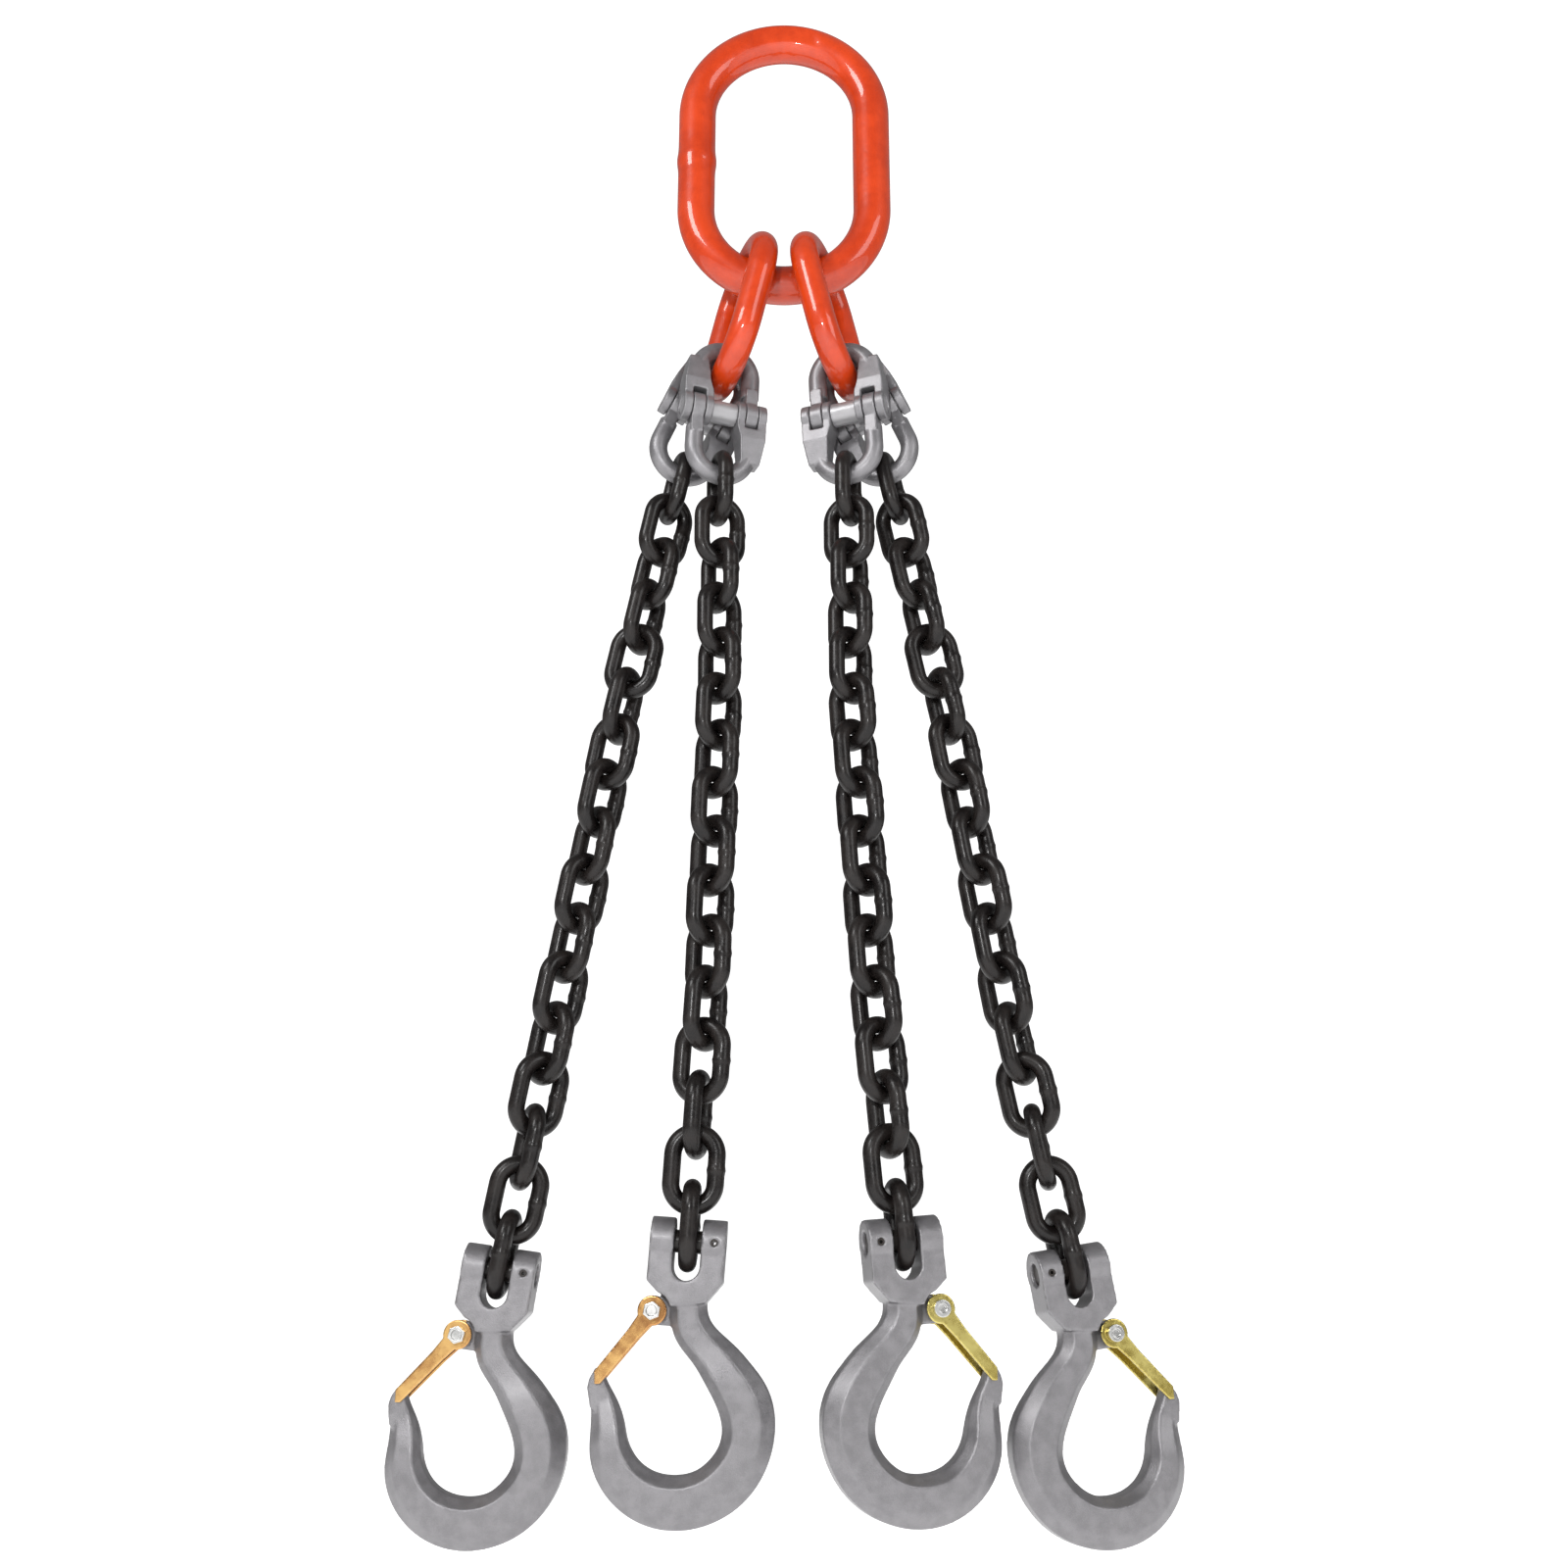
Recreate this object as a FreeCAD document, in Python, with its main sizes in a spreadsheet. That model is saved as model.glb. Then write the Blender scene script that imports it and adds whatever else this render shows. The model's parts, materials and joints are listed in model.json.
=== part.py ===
import FreeCAD, Part
import math
import os
import Sketcher
from FreeCAD import Placement, Rotation, Vector

# Four leg chain sling, hanging from its master link.
# Frame: +Z up, +X to the right, the front looks along -Y.
# Origin: the seat of the crane hook, inside the top bow of the master link.
# All lengths are in millimetres and all angles in degrees.

DRIVING_SIZES = {
    # master link and the two sub-links below it
    "master_wire": 25.5,
    "master_inner_width": 95,
    "master_inner_length": 170,
    "master_flat_depth": 1.6,
    "master_flat_length": 40,
    "sub_wire": 19,
    "sub_inner_width": 52,
    "sub_inner_length": 83.5,
    "sub_from_middle": 18.2,
    "sub_yaw": 19,
    "sub_lean": 13,
    # coupling link: two equal forged halves joined by a pin
    "half_bar": 12,
    "half_bar_centre": 18,
    "half_reach": 45.5,
    "half_eye_radius": 9.8,
    "half_thickness": 16,
    "prong_outer": 5.6,
    "prong_inner": 5,
    "tongue_width": 8,
    "tongue_rise": 5,
    "fork_shoulder": 14,
    "fork_taper_start": 4,
    "fork_inner_step": 2.5,
    "fork_top_above_bow": 8,
    "fork_slot_rise": 1.2,
    "fork_slot_overrun": 2,
    "coupling_pin_diameter": 12,
    "coupling_pin_recess": 1,
    "coupling_bush_diameter": 15,
    "front_spread_angle": 26,
    "rear_spread_angle": 38,
    "coupling_yaw": 20,
    # chain
    "chain_wire": 10,
    "chain_inner_width": 15,
    "chain_inner_length": 31,
    # hook: clevis head
    "clevis_width": 42,
    "clevis_thickness": 22.5,
    "clevis_eye_diameter": 25.6,
    "clevis_slot_width": 15,
    "clevis_slot_depth": 21,
    "clevis_shoulder_drop": 21,
    "clevis_cheek_rise": 2,
    "clevis_pin_diameter": 12.5,
    "clevis_pin_recess": 2,
    "roll_pin_diameter": 4,
    "roll_pin_bore": 2,
    "roll_pin_recess": 1,
    "roll_pin_from_middle": 14.6,
    # hook: bowl and shank
    "bowl_drop": 97,
    "bowl_inner_radius": 24.2,
    "bowl_depth": 27.3,
    "bowl_thickness": 24.6,
    "bowl_side_shift": 2,
    "shank_depth": 19.6,
    "shank_thickness": 20.6,
    "tip_depth": 13.4,
    "tip_thickness": 11,
    # safety latch
    "latch_pivot_side": 16.5,
    "latch_pivot_drop": 37.8,
    "latch_length": 48.5,
    "latch_angle": 54.5,
    "latch_head_radius": 8,
    "latch_arm_width": 7.5,
    "latch_arm_flare": 1,
    "latch_point_drop": 2,
    "latch_back_drop": 5,
    "latch_wall": 1.5,
    "latch_inner_width": 14,
    "latch_web_start": 10.5,
    "latch_web_end": 35,
    "lug_thickness": 8,
    "lug_radius": 7.4,
    "lug_web_length": 17,
    "lug_stub_radius": 4.4,
    "bolt_diameter": 5.8,
    "bolt_head_radius": 4.7,
    "bolt_head_height": 3,
    "bolt_socket_radius": 2.35,
    "bolt_socket_depth": 1.5,
    "bolt_end_recess": 0.6,
    "nut_radius": 5,
    "nut_height": 3.6,
    "spring_wire": 1.2,
    "spring_pitch": 1.26,
    "spring_leg": 24,
    "spring_leg_angle": 40,
    # clearances
    "link_gap": 0.3,
    "fork_side_gap": 0.5,
    "latch_recess_gap": 2,
    "cut_overrun": 3,
    "pin_fit": 0.05,
    "bush_fit": 0.1,
    "side_gap": 0.3,
}

# The widest part of the fork's top, as shares of the bar it runs into: outwards, inwards and deep.
FORK_TOP_SHARES = (0.62, 0.45, 0.45)
# One side of the hook's forging section, from the bowl outwards: shares of the half depth and of
# the half thickness.
SECTION_SHARES = ((-1, 0.45), (-0.58, 1), (0.45, 0.92), (1, 0.4))
# The hook's sections. Down the shank: sideways place, share of the bowl's drop, turn, and shares
# of the shank's depth and thickness.
SHANK_STATIONS = ((3.2, 0.28, 2, 1, 1), (3.6, 0.37, 5, 1, 1), (7, 0.48, 16, 1.14, 1))
# Into the bowl: distance inside the bowl's middle line, share of the drop, turn, and shares of
# the bowl's depth and thickness.
NECK_STATIONS = ((17.5, 0.615, 21, 0.94, 0.888), (6.3, 0.75, 19, 1.06, 1))
# Round the bowl: turn, and shares of the bowl's depth and thickness.
BOWL_STATIONS = ((5, 1.06, 1), (-30, 1.03, 1), (-60, 1, 1), (-90, 0.99, 1), (-120, 0.93, 0.96),
                 (-150, 0.83, 0.88), (-176, 0.68, 0.76))
# Up the tip: lean outwards, rise above the bowl's centre, turn, and shares of the tip's depth
# and thickness.
TIP_STATIONS = ((1, 11, -184, 1.12, 1.12), (3.6, 19, -196, 0.84, 1), (5.2, 26.5, -200, 0.4, 0.8))
# How much wider the bowl is at the tip than at the bottom, and how deep the tip sits in it.
BOWL_OPENING = 0.16
TIP_INSET = 0.34
# The clevis head below its shoulders: shares of the half width, and drops below the shoulder.
HEAD_OUTLINE = ((1, 0), (0.86, 4), (0.6, 11), (-0.3, 14), (-1, 1))
# The latch arm: where it leaves the head and where its flare ends, as shares of the head's
# radius, and how far its point reaches either side of the middle, as shares of the half width.
LATCH_FLARE_SHARES = (0.5, 2)
LATCH_POINT_SHARES = (0.8, 0.2)

# Each leg hangs from one sub-link. "hand" is -1 for the left pair and +1 for the right pair.
# "depth" is -1 for the coupling at the front of the sub-link and +1 for the one behind it.
# "leans" are the sideways leans of the coupling, of the three runs of chain and of the hook.
# "tips" are how far the coupling, the chain and the hook tip forward (-) or back (+).
# "twist" gives the angle of some links' planes from the front, link number to degrees.
LEGS = [
    {
        "name": "leg_1", "hand": -1, "depth": 1, "links": 17, "breaks": (6, 12),
        "leans": (22, 11.5, 10, 10, 8), "tips": (-6, 0.5, 0),
        "twist": {1: 112, 5: 168, 9: 135, 13: 135, 17: 90}, "hook_yaw": 0,
    },
    {
        "name": "leg_2", "hand": -1, "depth": -1, "links": 16, "breaks": (5, 11),
        "leans": (2.3, -0.5, 1.6, 3.2, 4), "tips": (-1.5, -1.5, 0),
        "twist": {1: 110, 4: 135, 11: 135, 15: 180, 16: 180}, "hook_yaw": 0,
    },
    {
        "name": "leg_3", "hand": 1, "depth": -1, "links": 16, "breaks": (5, 11),
        "leans": (2.3, 0, 3.5, 5, 5), "tips": (-1.5, -1.5, 0),
        "twist": {1: 110, 4: 135, 12: 135, 16: 168}, "hook_yaw": 12,
    },
    {
        "name": "leg_4", "hand": 1, "depth": 1, "links": 17, "breaks": (6, 12),
        "leans": (22, 11.5, 9.5, 11, 9), "tips": (-6, 0.5, 0),
        "twist": {1: 112, 5: 168, 9: 135, 12: 135, 17: 78}, "hook_yaw": 12,
    },
]

doc = FreeCAD.newDocument("four_leg_chain_sling")
sheet = doc.addObject("Spreadsheet::Sheet", "Sizes")
for row, (alias, number) in enumerate(DRIVING_SIZES.items(), start=1):
    sheet.set(f"A{row}", alias)
    sheet.set(f"B{row}", str(number))
    sheet.setAlias(f"B{row}", alias)
doc.recompute()


class Size:
    """A length as an expression of the sheet's cells, together with its present value."""

    def __init__(self, text, value):
        self.text = text
        self.value = value

    def __add__(self, other):
        other = as_size(other)
        return Size(f"({self.text} + {other.text})", self.value + other.value)

    def __sub__(self, other):
        other = as_size(other)
        return Size(f"({self.text} - {other.text})", self.value - other.value)

    def __mul__(self, other):
        other = as_size(other)
        return Size(f"({self.text} * {other.text})", self.value * other.value)

    def __truediv__(self, other):
        other = as_size(other)
        return Size(f"({self.text} / {other.text})", self.value / other.value)

    def __neg__(self):
        return Size(f"(0 - {self.text})", -self.value)


def as_size(number):
    return number if isinstance(number, Size) else Size(str(number), number)


def size(alias):
    return Size(f"Sizes.{alias}", float(sheet.get(alias)))


def read(alias):
    return float(sheet.get(alias))


# Sketches and features.

def new_body(label):
    body = doc.addObject("PartDesign::Body", label)
    body.Label = label
    return body


def sketch_on(body, plane_role, label, lift=None):
    """A sketch on one of the body's own origin planes, raised along the plane's normal."""
    sketch = body.newObject("Sketcher::SketchObject", label)
    plane = next(f for f in body.Origin.OriginFeatures if f.Role == plane_role)
    sketch.AttachmentSupport = (plane, [""])
    sketch.MapMode = "FlatFace"
    if lift is not None:
        sketch.AttachmentOffset = Placement(Vector(0, 0, lift.value), Rotation())
        sketch.setExpression("AttachmentOffset.Base.z", lift.text)
    return sketch


def constrain(sketch, kind, references, amount):
    """Adds one constraint whose value follows the sheet."""
    index = sketch.addConstraint(Sketcher.Constraint(kind, *references, amount.value))
    name = f"c{index}"
    sketch.renameConstraint(index, name)
    sketch.setExpression(f"Constraints.{name}", amount.text)


def hold_point(sketch, item, point, place):
    """Fixes one point of a sketch item at a place given by two sizes."""
    for kind, axis, amount in (("DistanceX", -2, place[0]), ("DistanceY", -1, place[1])):
        amount = as_size(amount)
        if amount.value == 0:
            sketch.addConstraint(Sketcher.Constraint("PointOnObject", item, point, axis))
        else:
            constrain(sketch, kind, (-1, 1, item, point), amount)


def flat(place):
    return Vector(as_size(place[0]).value, as_size(place[1]).value, 0)


def add_circle(sketch, centre, radius):
    item = sketch.addGeometry(Part.Circle(flat(centre), Vector(0, 0, 1), radius.value))
    hold_point(sketch, item, 3, centre)
    constrain(sketch, "Radius", (item,), radius)


def add_line(sketch, start, end):
    item = sketch.addGeometry(Part.LineSegment(flat(start), flat(end)))
    hold_point(sketch, item, 1, start)
    hold_point(sketch, item, 2, end)


def add_half_circle(sketch, start, end, bulge):
    """A half circle between two points of equal height; bulge is +1 above them and -1 below."""
    a, b = flat(start), flat(end)
    top = (a + b) * 0.5 + Vector(0, bulge * (b - a).Length / 2, 0)
    item = sketch.addGeometry(Part.Arc(a, top, b))
    first = sketch.getPoint(item, 1)
    ends = (start, end) if (first - a).Length < (first - b).Length else (end, start)
    hold_point(sketch, item, 1, ends[0])
    hold_point(sketch, item, 2, ends[1])
    constrain(sketch, "DistanceY", (-1, 1, item, 3), as_size(start[1]))


def add_polygon(sketch, corners):
    for start, end in zip(corners, corners[1:] + corners[:1]):
        add_line(sketch, start, end)


def add_rectangle(sketch, low, high):
    add_polygon(sketch, [low, (high[0], low[1]), high, (low[0], high[1])])


def finish_feature(body, feature):
    body.Tip = feature
    doc.recompute()
    return feature


def pad(body, sketch, length, symmetric=True, backwards=False):
    feature = body.newObject("PartDesign::Pad", f"{sketch.Label}_pad")
    feature.Profile = sketch
    feature.SideType = "Symmetric" if symmetric else "One side"
    feature.Reversed = backwards
    feature.Length = length.value
    feature.setExpression("Length", length.text)
    return finish_feature(body, feature)


def pocket(body, sketch, length, symmetric=True, backwards=False):
    """Cuts, and stops if nothing was cut."""
    before = body.Shape.Volume
    feature = body.newObject("PartDesign::Pocket", f"{sketch.Label}_cut")
    feature.Profile = sketch
    feature.SideType = "Symmetric" if symmetric else "One side"
    feature.Reversed = backwards
    feature.Length = length.value
    feature.setExpression("Length", length.text)
    finish_feature(body, feature)
    if body.Shape.Volume > before - 1e-3:
        raise RuntimeError(f"{feature.Label} cuts nothing")
    return feature


def pipe(body, profile, spine):
    feature = body.newObject("PartDesign::AdditivePipe", f"{spine.Label}_pipe")
    feature.Profile = profile
    edges = [f"Edge{n + 1}" for n in range(spine.GeometryCount)]
    feature.Spine = (spine, edges)
    return finish_feature(body, feature)


def loft(body, sections, label, ruled=False):
    feature = body.newObject("PartDesign::AdditiveLoft", label)
    feature.Profile = sections[0]
    feature.Sections = sections[1:]
    feature.Ruled = ruled
    return finish_feature(body, feature)


# The patterns: each piece is modelled once, in a frame of its own.

def oblong_link(label, wire, inner_width, inner_length):
    """A welded oblong link in the XZ plane, long way up, centred on the origin."""
    body = new_body(label)
    side = inner_width / 2 + wire / 2
    bow = (inner_length - inner_width) / 2
    spine = sketch_on(body, "XZ_Plane", f"{label}_centre_line")
    add_line(spine, (side, -bow), (side, bow))
    add_half_circle(spine, (side, bow), (-side, bow), 1)
    add_line(spine, (-side, bow), (-side, -bow))
    add_half_circle(spine, (-side, -bow), (side, -bow), -1)
    section = sketch_on(body, "XY_Plane", f"{label}_section")
    add_circle(section, (side, 0), wire / 2)
    pipe(body, section, spine)
    return body


def master_link():
    """The master link, its top bow pressed flat front and back to take a hook."""
    wire = size("master_wire")
    inner_length = size("master_inner_length")
    body = oblong_link("master_link_pattern", wire, size("master_inner_width"), inner_length)
    half_flat = size("master_flat_length") / 2
    for role, backwards in (("front", False), ("back", True)):
        lift = wire / 2 - size("master_flat_depth")
        lift = -lift if backwards else lift
        sketch = sketch_on(body, "XZ_Plane", f"master_flat_{role}", lift)
        low = (-half_flat, inner_length / 2 - wire / 4)
        high = (half_flat, inner_length / 2 + wire * 5 / 4)
        add_rectangle(sketch, low, high)
        pocket(body, sketch, wire, symmetric=False, backwards=not backwards)
    return body


def coupling_half():
    """One forged half: a round bow, a fork on the left, a tongue on the right, eyes on the X axis."""
    body = new_body("coupling_half_pattern")
    bar = size("half_bar")
    centre = size("half_bar_centre")
    bow = size("half_reach") - centre
    eye = size("half_eye_radius")
    gap = size("fork_side_gap")
    tongue = size("tongue_width")
    shoulder = size("fork_shoulder")
    taper = size("fork_taper_start")
    outer = centre + tongue / 2 + gap + size("prong_outer")
    inner = centre - tongue / 2 - gap - size("prong_inner")
    thickness = size("half_thickness")
    # the round bow with its two limbs
    spine = sketch_on(body, "XZ_Plane", "half_centre_line")
    add_line(spine, (centre, shoulder), (centre, bow))
    add_half_circle(spine, (centre, bow), (-centre, bow), 1)
    add_line(spine, (-centre, bow), (-centre, shoulder))
    section = sketch_on(body, "XY_Plane", "half_section", shoulder)
    add_circle(section, (centre, 0), bar / 2)
    pipe(body, section, spine)
    # the fork: a block that tapers up into the bow
    top_out, top_in, top_deep = FORK_TOP_SHARES
    sides = (
        (shoulder - taper, outer, inner, thickness / 2),
        (shoulder + taper, outer, inner + size("fork_inner_step"), thickness / 2),
        (bow + size("fork_top_above_bow"), centre + bar * top_out, centre - bar * top_in,
         bar * top_deep),
    )
    sections = []
    for number, (height, out, into, half) in enumerate(sides):
        sketch = sketch_on(body, "XY_Plane", f"fork_section_{number}", height)
        add_rectangle(sketch, (-out, -half), (-into, half))
        sections.append(sketch)
    loft(body, sections, "fork_taper", ruled=True)
    sketch = sketch_on(body, "XZ_Plane", "fork_block")
    add_rectangle(sketch, (-outer, 0), (-inner, shoulder - taper))
    pad(body, sketch, thickness)
    sketch = sketch_on(body, "YZ_Plane", "fork_eye", -outer)
    add_circle(sketch, (0, 0), eye)
    pad(body, sketch, outer - inner, symmetric=False)
    # the slot that takes the other half's tongue
    slot_low = centre + tongue / 2 + gap
    slot_high = centre - tongue / 2 - gap
    below = eye + size("fork_slot_overrun")
    sketch = sketch_on(body, "XZ_Plane", "fork_slot")
    add_rectangle(sketch, (-slot_low, -below), (-slot_high, eye + size("fork_slot_rise")))
    pocket(body, sketch, below * 2)
    # the tongue
    sketch = sketch_on(body, "YZ_Plane", "tongue_eye", centre - tongue / 2)
    add_circle(sketch, (0, 0), eye)
    pad(body, sketch, tongue, symmetric=False)
    rise = size("tongue_rise")
    sketch = sketch_on(body, "XZ_Plane", "tongue_limb")
    add_rectangle(sketch, (centre - tongue / 2, 0), (centre + tongue / 2, shoulder + rise))
    pad(body, sketch, bar)
    # the bore through both eyes
    sketch = sketch_on(body, "YZ_Plane", "half_bore")
    add_circle(sketch, (0, 0), size("coupling_pin_diameter") / 2 + size("pin_fit"))
    pocket(body, sketch, outer * 4)
    return body


def round_bar(label, plane_role, diameter, length, bore=None):
    """A pin or tube centred on the origin, along the normal of a plane."""
    body = new_body(label)
    sketch = sketch_on(body, plane_role, f"{label}_section")
    add_circle(sketch, (0, 0), diameter / 2)
    if bore is not None:
        add_circle(sketch, (0, 0), bore / 2)
    pad(body, sketch, length)
    return body


def hook_section(body, number, middle, turn, half_depth, half_thick):
    """A bevelled forging section. Its x runs from the bowl outwards, its y along the thickness."""
    sketch = sketch_on(body, "XY_Plane", f"hook_section_{number}")
    place = Vector(middle[0].value, 0, middle[1].value)
    sketch.AttachmentOffset = Placement(place, Rotation(Vector(0, 1, 0), -turn))
    sketch.setExpression("AttachmentOffset.Base.x", middle[0].text)
    sketch.setExpression("AttachmentOffset.Base.z", middle[1].text)
    side = [(half_depth * x, half_thick * y) for x, y in SECTION_SHARES]
    other_side = [(x, -y) for x, y in reversed(side)]
    add_polygon(sketch, side + other_side)
    return sketch


def hook():
    """A clevis sling hook. Its load pin lies on the X axis and it opens to the left."""
    body = new_body("hook_pattern")
    drop = size("bowl_drop")
    inner = size("bowl_inner_radius")
    depth = size("bowl_depth")
    thick = size("bowl_thickness")
    shank = size("shank_depth")
    shank_thick = size("shank_thickness")
    tip = size("tip_depth")
    tip_thick = size("tip_thickness")
    sections = []

    def station(x, z, turn, half_depth, half_thick):
        number = len(sections)
        sections.append(hook_section(body, number, (x, z), turn, half_depth, half_thick))

    # down the shank and into the bowl
    for side, share, turn, deep, wide in SHANK_STATIONS:
        station(as_size(side), -(drop * share), turn, shank * deep / 2, shank_thick * wide / 2)
    for inset, share, turn, deep, wide in NECK_STATIONS:
        station(inner + depth / 2 - inset, -(drop * share), turn, depth * deep / 2,
                thick * wide / 2)
    # round the bowl, the depth shrinking towards the tip
    for turn, deep, wide in BOWL_STATIONS:
        spread = 1 + BOWL_OPENING * max(0, -turn - 90) / 90
        middle = inner * spread + depth * deep / 2
        cosine = math.cos(math.radians(turn))
        sine = math.sin(math.radians(turn))
        station(middle * cosine + size("bowl_side_shift"), middle * sine - drop, turn,
                depth * deep / 2, thick * wide / 2)
    # the tip stands up and leans out
    reach = inner * (1 + BOWL_OPENING) + depth * TIP_INSET
    for lean, rise, turn, deep, wide in TIP_STATIONS:
        station(-(reach + lean), -(drop - rise), turn, tip * deep / 2, tip_thick * wide / 2)
    loft(body, sections, "hook_forging")
    # the clevis head
    half_width = size("clevis_width") / 2
    eye = size("clevis_eye_diameter") / 2
    through = eye * 4
    shoulder = size("clevis_shoulder_drop")
    top = size("clevis_cheek_rise")
    head = sketch_on(body, "XZ_Plane", "clevis_head")
    cheeks = [(half_width * share, -(shoulder + below)) for share, below in HEAD_OUTLINE]
    add_polygon(head, [(-half_width, top), (half_width, top)] + cheeks)
    pad(body, head, size("clevis_thickness"))
    sketch = sketch_on(body, "YZ_Plane", "clevis_eye")
    add_circle(sketch, (0, 0), eye)
    pad(body, sketch, half_width * 2)
    # the slot for the last link of the chain, round at its bottom
    half_slot = size("clevis_slot_width") / 2
    slot_turn = -(size("clevis_slot_depth") - half_slot)
    slot_top = eye + size("cut_overrun")
    sketch = sketch_on(body, "XZ_Plane", "clevis_slot")
    add_line(sketch, (half_slot, slot_turn), (half_slot, slot_top))
    add_line(sketch, (half_slot, slot_top), (-half_slot, slot_top))
    add_line(sketch, (-half_slot, slot_top), (-half_slot, slot_turn))
    add_half_circle(sketch, (-half_slot, slot_turn), (half_slot, slot_turn), -1)
    pocket(body, sketch, through)
    # the recess for the latch, and the lug that carries it
    pivot = (-size("latch_pivot_side"), -size("latch_pivot_drop"))
    recess = size("latch_head_radius") + size("latch_recess_gap")
    sketch = sketch_on(body, "XZ_Plane", "latch_recess")
    add_circle(sketch, pivot, recess)
    pocket(body, sketch, through)
    lug = size("lug_radius")
    sketch = sketch_on(body, "XZ_Plane", "lug_web")
    add_rectangle(sketch, (pivot[0], pivot[1] - lug), (pivot[0] + size("lug_web_length"),
                                                           pivot[1] + lug))
    pad(body, sketch, size("lug_thickness"))
    sketch = sketch_on(body, "XZ_Plane", "lug_eye")
    add_circle(sketch, pivot, lug)
    pad(body, sketch, size("lug_thickness"))
    sketch = sketch_on(body, "XZ_Plane", "lug_stub")
    add_circle(sketch, pivot, size("lug_stub_radius"))
    pad(body, sketch, size("latch_inner_width") - size("side_gap") * 2)
    sketch = sketch_on(body, "XZ_Plane", "lug_bore")
    add_circle(sketch, pivot, size("bolt_diameter") / 2 + size("pin_fit"))
    pocket(body, sketch, through)
    # the bores for the load pin and for the roll pin that keeps it
    sketch = sketch_on(body, "YZ_Plane", "load_bore")
    add_circle(sketch, (0, 0), size("clevis_pin_diameter") / 2 + size("pin_fit"))
    pocket(body, sketch, half_width * 4)
    sketch = sketch_on(body, "XZ_Plane", "roll_pin_hole")
    roll_bore = size("roll_pin_diameter") / 2 + size("pin_fit")
    add_circle(sketch, (size("roll_pin_from_middle"), 0), roll_bore)
    pocket(body, sketch, through)
    return body


def clevis_pin():
    """The load pin of the clevis, cross-bored for the roll pin."""
    length = size("clevis_width") - size("clevis_pin_recess") * 2
    body = round_bar("clevis_pin_pattern", "YZ_Plane", size("clevis_pin_diameter"), length)
    sketch = sketch_on(body, "XZ_Plane", "clevis_pin_cross_bore")
    roll_bore = size("roll_pin_diameter") / 2 + size("pin_fit")
    add_circle(sketch, (size("roll_pin_from_middle"), 0), roll_bore)
    pocket(body, sketch, size("clevis_pin_diameter") * 2)
    return body


def latch():
    """The sprung latch: two side plates and a web, the pivot on the Y axis, pointing along -Z."""
    body = new_body("latch_pattern")
    head = size("latch_head_radius")
    half_arm = size("latch_arm_width") / 2
    length = size("latch_length")
    inner = size("latch_inner_width")
    wall = size("latch_wall")
    outer = inner + wall * 2
    sketch = sketch_on(body, "XZ_Plane", "latch_head")
    add_circle(sketch, (0, 0), head)
    pad(body, sketch, outer)
    flare = half_arm + size("latch_arm_flare")
    flare_top, flare_end = (-(head * share) for share in LATCH_FLARE_SHARES)
    back, point = (half_arm * share for share in LATCH_POINT_SHARES)
    sketch = sketch_on(body, "XZ_Plane", "latch_arm")
    outline = [
        (-flare, flare_top), (flare, flare_top), (half_arm, flare_end),
        (back, size("latch_point_drop") - length), (point, -length),
        (-half_arm, size("latch_back_drop") - length), (-half_arm, flare_end),
    ]
    add_polygon(sketch, outline)
    pad(body, sketch, outer)
    # hollow it out between the side plates, all but the web on its outer side
    sketch = sketch_on(body, "XZ_Plane", "latch_hollow")
    side = head + size("cut_overrun")
    below = length + size("cut_overrun")
    web_inside = wall - half_arm
    web_start, web_end = -size("latch_web_start"), -size("latch_web_end")
    outline = [
        (-side, side), (side, side), (side, -below), (-side, -below), (-side, web_end),
        (web_inside, web_end), (web_inside, web_start), (-side, web_start),
    ]
    add_polygon(sketch, outline)
    pocket(body, sketch, inner)
    sketch = sketch_on(body, "XZ_Plane", "latch_bore")
    add_circle(sketch, (0, 0), size("bolt_diameter") / 2 + size("bush_fit"))
    pocket(body, sketch, outer * 2)
    return body


def latch_bolt():
    """The latch bolt along Y, its button head at the back."""
    body = new_body("latch_bolt_pattern")
    seat = size("latch_inner_width") / 2 + size("latch_wall") + size("side_gap")
    front = seat + size("nut_height") - size("bolt_end_recess")
    sketch = sketch_on(body, "XZ_Plane", "bolt_shank", -seat)
    add_circle(sketch, (0, 0), size("bolt_diameter") / 2)
    pad(body, sketch, seat + front, symmetric=False)
    sketch = sketch_on(body, "XZ_Plane", "bolt_head", -seat)
    add_circle(sketch, (0, 0), size("bolt_head_radius"))
    pad(body, sketch, size("bolt_head_height"), symmetric=False, backwards=True)
    sketch = sketch_on(body, "XZ_Plane", "bolt_socket", -(seat + size("bolt_head_height")))
    add_circle(sketch, (0, 0), size("bolt_socket_radius"))
    pocket(body, sketch, size("bolt_socket_depth"), symmetric=False, backwards=True)
    return body


def latch_nut():
    """The nut on the front end of the latch bolt, six-sided."""
    body = new_body("latch_nut_pattern")
    seat = size("latch_inner_width") / 2 + size("latch_wall") + size("side_gap")
    radius = size("nut_radius")
    sketch = sketch_on(body, "XZ_Plane", "nut_outline", seat)
    angles = [math.radians(60 * corner) for corner in range(6)]
    add_polygon(sketch, [(radius * math.cos(a), radius * math.sin(a)) for a in angles])
    pad(body, sketch, size("nut_height"), symmetric=False)
    sketch = sketch_on(body, "XZ_Plane", "nut_bore", seat)
    add_circle(sketch, (0, 0), size("bolt_diameter") / 2)
    pocket(body, sketch, size("nut_height"), symmetric=False, backwards=True)
    return body


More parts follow.
